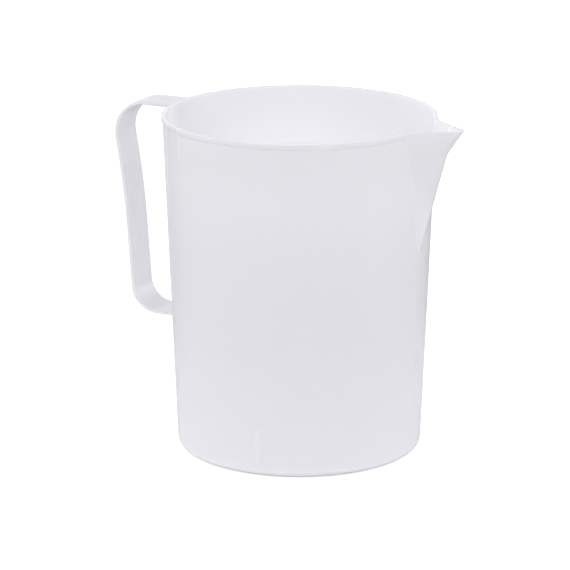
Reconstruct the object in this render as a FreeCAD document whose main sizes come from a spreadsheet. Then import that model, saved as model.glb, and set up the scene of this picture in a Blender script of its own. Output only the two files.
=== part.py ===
import FreeCAD, Part
import math
import os

import Sketcher

# A five-litre measuring jug moulded in one piece: a tapering round body with a beaded rim, a V-shaped
# pouring spout and a flat strap handle. Millimetres and degrees. The origin is the centre of the
# underside, +Z is up, the spout points along +X and the handle along -X. Drops are measured down from
# the rim, and reaches outwards from the wall's outer face at the rim.
SIZES = {
    # body
    "jug_height": 229.3,
    "foot_radius": 83.2,
    "mouth_radius": 92.0,
    "wall": 2.0,
    "floor_depth": 2.6,
    "foot_round": 4.5,
    "floor_round": 4.0,
    "mouth_round": 0.6,
    # bead round the outside of the rim
    "bead_proud": 0.7,
    "bead_depth": 3.2,
    "bead_round": 0.5,
    # spout: its ridge leaves the wall at the root, leans further out above the knee and ends at the lip
    "root_drop": 86.0,
    "knee_drop": 17.3,
    "knee_reach": 15.3,
    "lip_overhang": 12.0,
    "knee_flare": 43.0,
    "lip_narrowing": 6.5,
    "knee_ridge": 6.0,
    "lip_ridge": 4.5,
    "knee_round": 12.0,
    "crease_round": 4.5,
    "spout_inset": 30.0,
    "root_bury": 18.0,
    # strap handle: a level top leg, a grip that bends at the shoulder, waist and heel, and a bottom leg
    "strap_width": 26.5,
    "strap_depth": 2.4,
    "shoulder_reach": 45.8,
    "waist_reach": 35.4,
    "waist_drop": 64.3,
    "heel_reach": 29.3,
    "heel_drop": 148.4,
    "shoulder_bend": 22.0,
    "waist_bend": 500.0,
    "heel_bend": 18.0,
    "strap_bury": 8.0,
    "strap_foot_round": 0.8,
}

# Sizes that follow from those above.
FORMULAS = {
    "taper": "(mouth_radius - foot_radius) / jug_height",
    "hollow_radius": "foot_radius + taper * floor_depth - wall",
    "hollow_mouth": "mouth_radius - wall",
    "rim_radius": "mouth_radius + bead_proud",
    "bead_back": "mouth_radius - wall / 2",
    "bead_foot": "jug_height - bead_depth",
    "bead_under": "bead_foot - (rim_radius - bead_back)",
    "root_height": "jug_height - root_drop",
    "root_radius": "foot_radius + taper * root_height",
    "knee_height": "jug_height - knee_drop",
    "knee_tip": "mouth_radius + knee_reach",
    "lip_tip": "knee_tip + lip_overhang",
    "lip_flare": "knee_flare - lip_narrowing",
    "ridge_lean": "(knee_tip - root_radius) / (root_drop - knee_drop)",
    "buried_height": "root_height - root_bury",
    "buried_tip": "root_radius - ridge_lean * root_bury",
    "inner_crease_round": "crease_round + wall",
    "spout_back": "mouth_radius - spout_inset",
    "top_leg": "jug_height - strap_depth / 2",
    "strap_start": "mouth_radius - strap_bury",
    "shoulder": "mouth_radius + shoulder_reach",
    "waist": "mouth_radius + waist_reach",
    "waist_height": "jug_height - waist_drop",
    "heel": "mouth_radius + heel_reach",
    "bottom_leg": "jug_height - heel_drop",
    "strap_end": "foot_radius + taper * bottom_leg - strap_bury",
}

# How near a measured edge lies to the place it is looked for, in millimetres.
NEAR = 0.05

# Sketcher's numbers for the origin, the level axis and the points of a shape.
ORIGIN = (-1, 1)
LEVEL_AXIS = -1
UPRIGHT_AXIS = -2
START = 1
END = 2
CENTRE = 3

# Sides of the Z axis in an upright sketch: the spout's and the handle's.
RIGHT = 1
LEFT = -1


def write_sheet(doc):
    """Every size in a named cell: plain numbers first, then the formulas."""
    sheet = doc.addObject("Spreadsheet::Sheet", "Sizes")
    cells = [(name, str(number)) for name, number in SIZES.items()]
    cells += [(name, "=" + formula) for name, formula in FORMULAS.items()]
    for row, (name, content) in enumerate(cells, start=1):
        sheet.set(f"A{row}", name)
        sheet.set(f"B{row}", content)
        sheet.setAlias(f"B{row}", name)
    doc.recompute()
    return sheet


doc = FreeCAD.newDocument("measuring_jug")
sheet = write_sheet(doc)
body = doc.addObject("PartDesign::Body", "jug")
body.Label = "jug"
body.Placement = FreeCAD.Placement()


def mm(name):
    """A size read from the sheet, for the first guess of a sketch or to find an edge."""
    return float(sheet.get(name))


# Sketches


def new_sketch(name, role, offset=None):
    """A sketch on one of the body's origin planes, moved along its normal by an expression."""
    sketch = body.newObject("Sketcher::SketchObject", name)
    plane = next(item for item in body.Origin.OriginFeatures if item.Role == role)
    sketch.AttachmentSupport = [(plane, "")]
    sketch.MapMode = "FlatFace"
    if offset:
        sketch.setExpression(".AttachmentOffset.Base.z", offset)
    return sketch


def relate(sketch, kind, *where):
    return sketch.addConstraint(Sketcher.Constraint(kind, *where))


def drive(sketch, kind, *where, by):
    """Adds a dimension and binds it to an expression in the sheet's names."""
    sketch.setExpression(f"Constraints[{relate(sketch, kind, *where)}]", by)


def fix_point(sketch, at, reach, height, side=RIGHT):
    """Ties a point to its named distance beside the Z axis and its named height; None lies on an axis."""
    if reach:
        ends = (*ORIGIN, *at) if side == RIGHT else (*at, *ORIGIN)
        drive(sketch, "DistanceX", *ends, mm(reach), by=f"Sizes.{reach}")
    else:
        relate(sketch, "PointOnObject", *at, UPRIGHT_AXIS)
    if height:
        drive(sketch, "DistanceY", *ORIGIN, *at, mm(height), by=f"Sizes.{height}")
    else:
        relate(sketch, "PointOnObject", *at, LEVEL_AXIS)


def half_outline(name, corners):
    """A closed outline beside the Z axis; corners are (radius, height) pairs of names, None on an axis."""
    sketch = new_sketch(name, "XZ_Plane")
    places = [FreeCAD.Vector(mm(r) if r else 0, mm(z) if z else 0) for r, z in corners]
    for start, end in zip(places, places[1:] + places[:1]):
        sketch.addGeometry(Part.LineSegment(start, end))
    for index, (radius, height) in enumerate(corners):
        relate(sketch, "Coincident", (index - 1) % len(corners), END, index, START)
        fix_point(sketch, (index, START), radius, height)
    return sketch


def spout_section(name, height, tip, ridge, flare, inset):
    """A level V whose point is an arc; an inset makes the V of the inside, parallel to the outside's."""
    sketch = new_sketch(name, "XY_Plane", f"Sizes.{height}")
    radius = mm(ridge) - (mm(inset) if inset else 0)
    middle = mm(tip) - mm(ridge)
    angle = math.radians(mm(flare))
    touch = FreeCAD.Vector(middle + radius * math.sin(angle), radius * math.cos(angle))
    back = FreeCAD.Vector(mm("spout_back"), touch.y + (touch.x - mm("spout_back")) * math.tan(angle))

    def mirrored(point):
        return FreeCAD.Vector(point.x, -point.y)

    circle = Part.Circle(FreeCAD.Vector(middle, 0), FreeCAD.Vector(0, 0, 1), radius)
    reach = math.pi / 2 - angle
    near, point, far, rear = sketch.addGeometry(
        [
            Part.LineSegment(mirrored(back), mirrored(touch)),
            Part.ArcOfCircle(circle, -reach, reach),
            Part.LineSegment(touch, back),
            Part.LineSegment(back, mirrored(back)),
        ]
    )
    for first, second in ((near, point), (point, far)):
        relate(sketch, "Tangent", first, END, second, START)
    for first, second in ((far, rear), (rear, near)):
        relate(sketch, "Coincident", first, END, second, START)
    relate(sketch, "PointOnObject", point, CENTRE, LEVEL_AXIS)
    relate(sketch, "Symmetric", rear, START, rear, END, LEVEL_AXIS)
    drive(sketch, "DistanceX", *ORIGIN, rear, START, mm("spout_back"), by="Sizes.spout_back")
    drive(sketch, "DistanceX", *ORIGIN, point, CENTRE, middle, by=f"Sizes.{tip} - Sizes.{ridge}")
    drive(sketch, "Angle", near, angle, by=f"Sizes.{flare} * 1 deg")
    less = f" - Sizes.{inset}" if inset else ""
    drive(sketch, "Radius", point, radius, by=f"Sizes.{ridge}{less}")
    return sketch


def rounded_run(corners, bends):
    """Lines and tangent arcs along a run of corners, each inner corner rounded by its bend."""
    shapes = []
    start = corners[0]
    for before, corner, after, bend in zip(corners, corners[1:], corners[2:], bends):
        towards = (before - corner).normalize()
        onwards = (after - corner).normalize()
        half = towards.getAngle(onwards) / 2
        middle = corner + (towards + onwards).normalize() * (bend / math.sin(half))
        first = corner + towards * (bend / math.tan(half))
        last = corner + onwards * (bend / math.tan(half))
        nearest = middle + (corner - middle).normalize() * bend
        shapes += [Part.LineSegment(start, first), Part.Arc(first, nearest, last)]
        start = last
    return shapes + [Part.LineSegment(start, corners[-1])]


def nearer_end(sketch, index, place):
    """START or END, whichever end of a shape lies at the place: an arc may run either way."""
    at_start = sketch.getPoint(index, START).distanceToPoint(place)
    at_end = sketch.getPoint(index, END).distanceToPoint(place)
    return START if at_start < at_end else END


def draw_run(sketch, places, bends, side):
    """
    A run through named places beside the Z axis, each inner corner rounded by its named bend.
    Its corners are marked by construction points that lie on the lines to both sides.
    Returns the number of its last line.
    """
    corners = [FreeCAD.Vector(side * mm(reach), mm(height)) for reach, height in places]
    shapes = rounded_run(corners, [mm(bend) for bend in bends])
    sketch.addGeometry(shapes)
    for index, shape in enumerate(shapes[:-1]):
        here = nearer_end(sketch, index, shape.EndPoint)
        there = nearer_end(sketch, index + 1, shape.EndPoint)
        relate(sketch, "Tangent", index, here, index + 1, there)
    last = len(shapes) - 1
    fix_point(sketch, (0, START), *places[0], side)
    fix_point(sketch, (last, END), *places[-1], side)
    for arc, bend, place, corner in zip(range(1, last, 2), bends, places[1:], corners[1:]):
        drive(sketch, "Radius", arc, mm(bend), by=f"Sizes.{bend}")
        mark = (sketch.addGeometry(Part.Point(corner), True), START)
        fix_point(sketch, mark, *place, side)
        for line in (arc - 1, arc + 1):
            relate(sketch, "PointOnObject", *mark, line)
    return last


def bead_outline():
    """The bead's section, rounded outside and bevelled underneath, with its back inside the wall."""
    sketch = new_sketch("BeadOutline", "XZ_Plane")
    places = [
        ("bead_back", "bead_under"),
        ("rim_radius", "bead_foot"),
        ("rim_radius", "jug_height"),
        ("bead_back", "jug_height"),
    ]
    last = draw_run(sketch, places, ["bead_round", "bead_round"], RIGHT)
    ends = [FreeCAD.Vector(mm("bead_back"), mm(height)) for height in ("jug_height", "bead_under")]
    back = sketch.addGeometry(Part.LineSegment(*ends))
    relate(sketch, "Coincident", last, END, back, START)
    relate(sketch, "Coincident", back, END, 0, START)
    return sketch


def strap_path():
    """The strap's middle line, in the upright plane of the spout and the handle."""
    sketch = new_sketch("StrapPath", "XZ_Plane")
    places = [
        ("strap_start", "top_leg"),
        ("shoulder", "top_leg"),
        ("waist", "waist_height"),
        ("heel", "bottom_leg"),
        ("strap_end", "bottom_leg"),
    ]
    draw_run(sketch, places, ["shoulder_bend", "waist_bend", "heel_bend"], LEFT)
    return sketch


def strap_section():
    """The strap's flat section with round edges, across the start of its path."""
    sketch = new_sketch("StrapSection", "YZ_Plane", "-Sizes.strap_start")
    middle = mm("top_leg")
    radius = mm("strap_depth") / 2
    side = mm("strap_width") / 2 - radius
    quarter = math.pi / 2

    def round_side(y, start):
        circle = Part.Circle(FreeCAD.Vector(y, middle), FreeCAD.Vector(0, 0, 1), radius)
        return Part.ArcOfCircle(circle, start, start + 2 * quarter)

    def flat_side(y, z):
        return Part.LineSegment(FreeCAD.Vector(-y, z), FreeCAD.Vector(y, z))

    under, right, over, left = sketch.addGeometry(
        [
            flat_side(side, middle - radius),
            round_side(side, -quarter),
            flat_side(-side, middle + radius),
            round_side(-side, quarter),
        ]
    )
    for first, second in ((under, right), (right, over), (over, left), (left, under)):
        relate(sketch, "Tangent", first, END, second, START)
    relate(sketch, "Horizontal", under)
    relate(sketch, "Equal", right, left)
    drive(sketch, "Radius", right, radius, by="Sizes.strap_depth / 2")
    across = "Sizes.strap_width / 2 - Sizes.strap_depth / 2"
    drive(sketch, "DistanceX", *ORIGIN, right, CENTRE, side, by=across)
    drive(sketch, "DistanceX", left, CENTRE, *ORIGIN, side, by=across)
    drive(sketch, "DistanceY", *ORIGIN, right, CENTRE, middle, by="Sizes.top_leg")
    return sketch


# Features


def turn(kind, name, sketch):
    """Turns an outline right round the Z axis."""
    feature = body.newObject(f"PartDesign::{kind}", name)
    feature.Profile = sketch
    feature.ReferenceAxis = (sketch, ["V_Axis"])
    feature.Angle = 360
    doc.recompute()
    return feature


def loft(kind, name, prefix, inset=None):
    """The spout from below its root, through its knee, to its lip."""
    sections = [
        spout_section(prefix + "Root", "buried_height", "buried_tip", "knee_ridge", "knee_flare", inset),
        spout_section(prefix + "Knee", "knee_height", "knee_tip", "knee_ridge", "knee_flare", inset),
        spout_section(prefix + "Lip", "jug_height", "lip_tip", "lip_ridge", "lip_flare", inset),
    ]
    feature = body.newObject(f"PartDesign::{kind}", name)
    feature.Profile = sections[0]
    feature.Sections = sections[1:]
    feature.Ruled = True
    doc.recompute()
    return feature


def round_edges(name, feature, edges, radius):
    """Rounds the numbered edges of a feature by a named size."""
    if not edges:
        raise RuntimeError(f"{name}: no edge to round")
    fillet = body.newObject("PartDesign::Fillet", name)
    fillet.Base = (feature, [f"Edge{number}" for number in edges])
    fillet.setExpression("Radius", f"Sizes.{radius}")
    doc.recompute()
    return fillet


# Edges of a shape, by their numbers


def edges_where(shape, test):
    return [number for number, edge in enumerate(shape.Edges, start=1) if test(edge)]


def circles(shape, radius, height):
    """Circles of this radius about the Z axis at this height."""

    def fits(edge):
        curve = edge.Curve
        if not isinstance(curve, Part.Circle):
            return False
        return abs(curve.Radius - radius) < NEAR and abs(curve.Center.z - height) < NEAR

    return edges_where(shape, fits)


def level_edges(shape, height):
    """Edges that lie level at this height."""

    def fits(edge):
        box = edge.BoundBox
        return abs(box.ZMin - height) < NEAR and abs(box.ZMax - height) < NEAR

    return edges_where(shape, fits)


def edges_on_wall(shape):
    """Edges where something else leaves the tapering wall."""

    def fits(edge):
        faces = shape.ancestorsOfType(edge, Part.Face)
        return len(faces) == 2 and sum(isinstance(face.Surface, Part.Cone) for face in faces) == 1

    return edges_where(shape, fits)


def spout_creases(shape, inside):
    """Steep edges where the spout's sides leave the wall, on its inner or its outer face."""
    on_wall = edges_on_wall(shape)

    def fits(edge):
        place = edge.CenterOfMass
        wall_middle = mm("foot_radius") + mm("taper") * place.z - mm("wall") / 2
        is_inside = math.hypot(place.x, place.y) < wall_middle
        return place.x > mm("spout_back") and edge.BoundBox.ZLength > mm("wall") and is_inside == inside

    return [number for number in edges_where(shape, fits) if number in on_wall]


def strap_foot(shape):
    """Edges where the strap's bottom leg leaves the wall."""
    on_wall = edges_on_wall(shape)

    def fits(edge):
        place = edge.CenterOfMass
        return place.x < 0 and abs(place.z - mm("bottom_leg")) < mm("strap_depth")

    return [number for number in edges_where(shape, fits) if number in on_wall]


def mouth_edges(shape):
    """The inner edges of the rim's level face, round the mouth and the spout."""
    level = [face for face in shape.Faces if abs(face.BoundBox.ZMin - mm("jug_height")) < NEAR]
    rim = max(level, key=lambda face: face.Area)
    inner = [edge for wire in rim.Wires if not wire.isSame(rim.OuterWire) for edge in wire.Edges]
    return edges_where(shape, lambda edge: any(edge.isSame(other) for other in inner))


# The jug


def add_wall():
    """The tapering body, solid for now."""
    outline = [(None, None), ("foot_radius", None), ("mouth_radius", "jug_height"), (None, "jug_height")]
    wall = turn("Revolution", "Outside", half_outline("OutsideOutline", outline))
    round_edges("FootRound", wall, circles(wall.Shape, mm("foot_radius"), 0), "foot_round")


def add_spout():
    """The outside of the spout, with soft creases where it leaves the wall."""
    spout = loft("AdditiveLoft", "SpoutOutside", "Outer")
    knee = round_edges("KneeRound", spout, level_edges(spout.Shape, mm("knee_height")), "knee_round")
    round_edges("CreaseRound", knee, spout_creases(knee.Shape, inside=False), "crease_round")


def add_bead():
    """A bead round the rim, which runs out into the spout's sides."""
    turn("Revolution", "Bead", bead_outline())


def add_strap():
    """The handle, level with the rim at its top."""
    strap = body.newObject("PartDesign::AdditivePipe", "Strap")
    strap.Profile = strap_section()
    strap.Spine = strap_path()
    doc.recompute()
    round_edges("StrapFootRound", strap, strap_foot(strap.Shape), "strap_foot_round")


def hollow_out():
    """The inside of the body, which also trims the strap's buried ends."""
    outline = [
        (None, "floor_depth"),
        ("hollow_radius", "floor_depth"),
        ("hollow_mouth", "jug_height"),
        (None, "jug_height"),
    ]
    hollow = turn("Groove", "Hollow", half_outline("HollowOutline", outline))
    floor = circles(hollow.Shape, mm("hollow_radius"), mm("floor_depth"))
    round_edges("FloorRound", hollow, floor, "floor_round")


def open_spout():
    """The inside of the spout, one wall within its outside."""
    opened = loft("SubtractiveLoft", "SpoutHollow", "Inner", inset="wall")
    knee = round_edges("InnerKneeRound", opened, level_edges(opened.Shape, mm("knee_height")), "knee_round")
    inner_creases = spout_creases(knee.Shape, inside=True)
    crease = round_edges("InnerCreaseRound", knee, inner_creases, "inner_crease_round")
    round_edges("MouthRound", crease, mouth_edges(crease.Shape), "mouth_round")


def check_model():
    failed = [item.Name for item in doc.Objects if {"Invalid", "Error"} & set(item.State)]
    if failed:
        raise RuntimeError(f"failed features: {failed}")
    if body.Shape.isNull() or not body.Shape.isValid() or len(body.Shape.Solids) != 1:
        raise RuntimeError("the jug is not one valid solid")


add_wall()
add_spout()
add_bead()
add_strap()
hollow_out()
open_spout()
doc.recompute()
check_model()
os.makedirs("parts", exist_ok=True)
body.Shape.exportStep(f"parts/{body.Label}.step")
print(f"{body.Label}: {body.Shape.Volume:.0f} mm3")
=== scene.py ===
import math

import bpy
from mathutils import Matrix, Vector


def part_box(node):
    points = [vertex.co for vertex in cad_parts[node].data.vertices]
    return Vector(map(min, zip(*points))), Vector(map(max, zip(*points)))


# The measuring jug, standing on a white floor in soft light. Metres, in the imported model's frame: the
# origin is the centre of the underside, +Z is up, the spout points along +X and the handle along -X.

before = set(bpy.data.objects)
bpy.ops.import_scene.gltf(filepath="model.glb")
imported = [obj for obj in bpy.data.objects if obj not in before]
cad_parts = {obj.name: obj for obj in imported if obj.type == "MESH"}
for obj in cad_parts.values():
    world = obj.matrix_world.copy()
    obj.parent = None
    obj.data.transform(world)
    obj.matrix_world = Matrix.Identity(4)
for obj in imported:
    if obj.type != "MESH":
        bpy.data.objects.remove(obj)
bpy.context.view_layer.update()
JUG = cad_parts["jug"]
LOW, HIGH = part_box("jug")

# Camera, at the photograph's viewpoint: angles in radians, lens and sensor in millimetres
CAMERA_AZIMUTH = math.radians(26.0)
CAMERA_DISTANCE = 2.0
CAMERA_HEIGHT = 0.6745
CAMERA_DOWN = 0.2751
CAMERA_TURN = 0.0049
CAMERA_LENS = 192.8
CAMERA_CLIP_END = 50.0
SENSOR = 36.0

# Level directions, away from the camera and to its right, and up
BACK = (-math.sin(CAMERA_AZIMUTH), math.cos(CAMERA_AZIMUTH), 0.0)
RIGHT = (math.cos(CAMERA_AZIMUTH), math.sin(CAMERA_AZIMUTH), 0.0)
UP = (0.0, 0.0, 1.0)

# Sky, as the jug is lit by it. The camera sees white instead.
# Degrees round from straight behind the jug, to the camera's right, and the light level there
SKY_ROUND_THE_JUG = ((-180.0, 1.32), (-70.0, 1.6), (0.0, 0.95), (80.0, 1.45), (180.0, 1.32))
# The upward part of the direction, and what that level is multiplied by there
SKY_LOW_TO_HIGH = ((-1.0, 1.1), (0.0, 1.2), (1.0, 0.35))
SKY_TINT = (0.985, 0.985, 1.01, 1.0)
WHITE = (1.0, 1.0, 1.0, 1.0)

# Beams into the mouth: each lamp's elevation, distance from the mouth and watts, and the beam's radius at
# the mouth and the share of it that is soft edge. The lamps themselves are small, so the beams stay sharp.
OVERHEAD = {"elevation": math.radians(90.0), "length": 0.3, "radius": 0.087, "blend": 0.25, "power": 2.4}
FRONT = {"elevation": math.radians(50.0), "length": 1.2, "radius": 0.075, "blend": 1.0, "power": 20.0}
BEAM_SOURCE = 0.002

# Floor: a white sheet under the jug that fades into a greyer surround, which the camera doesn't see.
# Levels are shares of white, reaches are distances from the jug's axis, and only the camera sees the lift.
SHEET = 0.92
SURROUND = 0.35
SHEET_REACH = 0.15
SURROUND_REACH = 0.5
FLOOR_LIFT = 0.4
FLOOR_HALF_WIDTH = 6.0
FLOOR_GAP = 0.0002

# Natural polypropylene: two tints, gloss, how far light travels inside, the moulded skin and the noises
PLASTIC = (0.875, 0.875, 0.93, 1.0)
PLASTIC_WARMER = (0.885, 0.875, 0.92, 1.0)
ROUGHNESS_LOW = 0.2
ROUGHNESS_HIGH = 0.3
REFRACTION = 1.49
SCATTER_WEIGHT = 1.0
SCATTER_RADIUS = (1.0, 1.0, 1.0)
SCATTER_SCALE = 0.009
SKIN_STRENGTH = 0.25
SKIN_DEPTH = 0.00005
CLOUDS = {"stretch": (1.0, 1.0, 0.35), "scale": 14.0, "detail": 3.0}
SHEEN = {"stretch": (1.0, 1.0, 0.2), "scale": 45.0, "detail": 1.0}
SKIN = {"stretch": (1.0, 1.0, 0.5), "scale": 900.0, "detail": 3.0}


def link(tree, source, output, target, name):
    """Join an output to an input, each given by name or number."""
    tree.links.new(source.outputs[output], target.inputs[name])


def add_camera():
    """The photograph's viewpoint, in front of the jug and a little above it."""
    data = bpy.data.cameras.new("camera")
    data.sensor_width = SENSOR
    data.lens = CAMERA_LENS
    data.clip_end = CAMERA_CLIP_END
    camera = bpy.data.objects.new("camera", data)
    bpy.context.scene.collection.objects.link(camera)
    camera.location = (
        math.sin(CAMERA_AZIMUTH) * CAMERA_DISTANCE,
        -math.cos(CAMERA_AZIMUTH) * CAMERA_DISTANCE,
        CAMERA_HEIGHT,
    )
    camera.rotation_euler = (math.pi / 2 - CAMERA_DOWN, 0.0, CAMERA_AZIMUTH + CAMERA_TURN)
    bpy.context.scene.camera = camera


def new_material(name):
    material = bpy.data.materials.new(name)
    material.use_nodes = True
    material.node_tree.nodes.clear()
    return material, material.node_tree


def noise(tree, coordinates, stretch, scale, detail):
    """Noise over the object's own coordinates. A stretch under 1 draws it out along that axis."""
    mapping = tree.nodes.new("ShaderNodeMapping")
    mapping.inputs["Scale"].default_value = stretch
    link(tree, coordinates, "Object", mapping, "Vector")
    texture = tree.nodes.new("ShaderNodeTexNoise")
    texture.inputs["Scale"].default_value = scale
    texture.inputs["Detail"].default_value = detail
    link(tree, mapping, "Vector", texture, "Vector")
    return texture


def colour_plastic(tree, coordinates, surface):
    """Cloudy variation between two tints, drawn out upwards."""
    clouds = noise(tree, coordinates, **CLOUDS)
    tint = tree.nodes.new("ShaderNodeMix")
    tint.data_type = "RGBA"
    tint.inputs["A"].default_value = PLASTIC
    tint.inputs["B"].default_value = PLASTIC_WARMER
    link(tree, clouds, "Fac", tint, "Factor")
    link(tree, tint, "Result", surface, "Base Color")


def gloss_plastic(tree, coordinates, surface):
    """Roughness that varies in long upright marks."""
    sheen = noise(tree, coordinates, **SHEEN)
    gloss = tree.nodes.new("ShaderNodeMapRange")
    gloss.inputs["To Min"].default_value = ROUGHNESS_LOW
    gloss.inputs["To Max"].default_value = ROUGHNESS_HIGH
    link(tree, sheen, "Fac", gloss, "Value")
    link(tree, gloss, "Result", surface, "Roughness")


def roughen_plastic(tree, coordinates, surface):
    """The fine skin that a mould leaves."""
    skin = noise(tree, coordinates, **SKIN)
    bump = tree.nodes.new("ShaderNodeBump")
    bump.inputs["Strength"].default_value = SKIN_STRENGTH
    bump.inputs["Distance"].default_value = SKIN_DEPTH
    link(tree, skin, "Fac", bump, "Height")
    link(tree, bump, "Normal", surface, "Normal")


def plastic():
    """Milky polypropylene: soft gloss, and light carried inside it."""
    material, tree = new_material("polypropylene")
    output = tree.nodes.new("ShaderNodeOutputMaterial")
    surface = tree.nodes.new("ShaderNodeBsdfPrincipled")
    coordinates = tree.nodes.new("ShaderNodeTexCoord")
    colour_plastic(tree, coordinates, surface)
    gloss_plastic(tree, coordinates, surface)
    roughen_plastic(tree, coordinates, surface)
    surface.inputs["IOR"].default_value = REFRACTION
    surface.inputs["Subsurface Weight"].default_value = SCATTER_WEIGHT
    surface.inputs["Subsurface Radius"].default_value = SCATTER_RADIUS
    surface.inputs["Subsurface Scale"].default_value = SCATTER_SCALE
    link(tree, surface, "BSDF", output, "Surface")
    return material


def floor_shade(tree, rays):
    """The floor's grey level: a sheet that fades into the surround, or the sheet alone for the camera."""
    coordinates = tree.nodes.new("ShaderNodeTexCoord")
    distance = tree.nodes.new("ShaderNodeVectorMath")
    distance.operation = "LENGTH"
    link(tree, coordinates, "Object", distance, 0)
    shade = tree.nodes.new("ShaderNodeMapRange")
    shade.interpolation_type = "SMOOTHSTEP"
    shade.inputs["From Min"].default_value = SHEET_REACH
    shade.inputs["From Max"].default_value = SURROUND_REACH
    shade.inputs["To Min"].default_value = SHEET
    shade.inputs["To Max"].default_value = SURROUND
    link(tree, distance, "Value", shade, "Value")
    seen = tree.nodes.new("ShaderNodeMix")
    seen.inputs["B"].default_value = SHEET
    link(tree, rays, "Is Camera Ray", seen, "Factor")
    link(tree, shade, "Result", seen, "A")
    return seen


def floor_material():
    """A diffuse floor, lifted to white where the camera sees it."""
    material, tree = new_material("sweep")
    output = tree.nodes.new("ShaderNodeOutputMaterial")
    rays = tree.nodes.new("ShaderNodeLightPath")
    paint = tree.nodes.new("ShaderNodeBsdfDiffuse")
    link(tree, floor_shade(tree, rays), "Result", paint, "Color")
    lift = tree.nodes.new("ShaderNodeMath")
    lift.operation = "MULTIPLY"
    lift.inputs[1].default_value = FLOOR_LIFT
    link(tree, rays, "Is Camera Ray", lift, 0)
    glow = tree.nodes.new("ShaderNodeEmission")
    link(tree, lift, "Value", glow, "Strength")
    both = tree.nodes.new("ShaderNodeAddShader")
    link(tree, paint, "BSDF", both, 0)
    link(tree, glow, "Emission", both, 1)
    link(tree, both, "Shader", output, "Surface")
    return material


def add_floor():
    """A square just below the jug's underside."""
    far = FLOOR_HALF_WIDTH
    corners = [(-far, -far, 0.0), (far, -far, 0.0), (far, far, 0.0), (-far, far, 0.0)]
    mesh = bpy.data.meshes.new("floor")
    mesh.from_pydata(corners, [], [(0, 1, 2, 3)])
    mesh.materials.append(floor_material())
    floor = bpy.data.objects.new("floor", mesh)
    floor.location.z = LOW.z - FLOOR_GAP
    bpy.context.scene.collection.objects.link(floor)


def along(tree, coordinates, direction):
    """How far each direction of the sky points along another: 1 the same way, -1 the opposite way."""
    product = tree.nodes.new("ShaderNodeVectorMath")
    product.operation = "DOT_PRODUCT"
    product.inputs[1].default_value = direction
    link(tree, coordinates, "Generated", product, 0)
    return product


def ramp(tree, source, stops):
    """A smooth light level that follows a number; stops are rising (number, level) pairs."""
    low = stops[0][0]
    high = stops[-1][0]
    share = tree.nodes.new("ShaderNodeMapRange")
    share.inputs["From Min"].default_value = low
    share.inputs["From Max"].default_value = high
    link(tree, source, "Value", share, "Value")
    curve = tree.nodes.new("ShaderNodeValToRGB")
    curve.color_ramp.interpolation = "EASE"
    # Where a new stop goes doesn't matter, as each is placed below
    while len(curve.color_ramp.elements) < len(stops):
        curve.color_ramp.elements.new(0.5)
    for element, (number, level) in zip(curve.color_ramp.elements, stops):
        element.position = (number - low) / (high - low)
        element.color = (level, level, level, 1.0)
    link(tree, share, "Result", curve, "Fac")
    return curve


def multiply(tree, source, output):
    """A node that multiplies a colour by its input B."""
    product = tree.nodes.new("ShaderNodeMix")
    product.data_type = "RGBA"
    product.blend_type = "MULTIPLY"
    product.inputs["Factor"].default_value = 1.0
    link(tree, source, output, product, "A")
    return product


def sky_colour(tree):
    """A soft studio whose walls differ in brightness all round, under a darker ceiling."""
    coordinates = tree.nodes.new("ShaderNodeTexCoord")
    turn = tree.nodes.new("ShaderNodeMath")
    turn.operation = "ARCTAN2"
    link(tree, along(tree, coordinates, RIGHT), "Value", turn, 0)
    link(tree, along(tree, coordinates, BACK), "Value", turn, 1)
    degrees = tree.nodes.new("ShaderNodeMath")
    degrees.operation = "DEGREES"
    link(tree, turn, "Value", degrees, 0)
    level = multiply(tree, ramp(tree, degrees, SKY_ROUND_THE_JUG), "Color")
    link(tree, ramp(tree, along(tree, coordinates, UP), SKY_LOW_TO_HIGH), "Color", level, "B")
    cooled = multiply(tree, level, "Result")
    cooled.inputs["B"].default_value = SKY_TINT
    return cooled


def add_sky():
    """White where the camera sees it, and the studio for the jug and the floor."""
    world = bpy.data.worlds.new("studio")
    bpy.context.scene.world = world
    world.use_nodes = True
    tree = world.node_tree
    tree.nodes.clear()
    output = tree.nodes.new("ShaderNodeOutputWorld")
    studio = tree.nodes.new("ShaderNodeBackground")
    link(tree, sky_colour(tree), "Result", studio, "Color")
    white = tree.nodes.new("ShaderNodeBackground")
    white.inputs["Color"].default_value = WHITE
    rays = tree.nodes.new("ShaderNodeLightPath")
    either = tree.nodes.new("ShaderNodeMixShader")
    link(tree, rays, "Is Camera Ray", either, 0)
    link(tree, studio, "Background", either, 1)
    link(tree, white, "Background", either, 2)
    link(tree, either, "Shader", output, "Surface")


def add_beam(name, elevation, length, radius, blend, power):
    """A lamp overhead or on the camera's side, whose beam goes in at the mouth to light the inside."""
    data = bpy.data.lights.new(name, "SPOT")
    data.energy = power
    data.spot_size = 2.0 * math.atan(radius / length)
    data.spot_blend = blend
    data.shadow_soft_size = BEAM_SOURCE
    lamp = bpy.data.objects.new(name, data)
    towards_lamp = Vector(BACK) * -math.cos(elevation) + Vector(UP) * math.sin(elevation)
    lamp.location = Vector((0.0, 0.0, HIGH.z)) + towards_lamp * length
    lamp.rotation_euler = towards_lamp.to_track_quat("Z", "Y").to_euler()
    bpy.context.scene.collection.objects.link(lamp)


add_camera()
add_sky()
add_floor()
add_beam("overhead", **OVERHEAD)
add_beam("front", **FRONT)
JUG.data.materials[0] = plastic()
bpy.context.scene.view_settings.view_transform = "Standard"
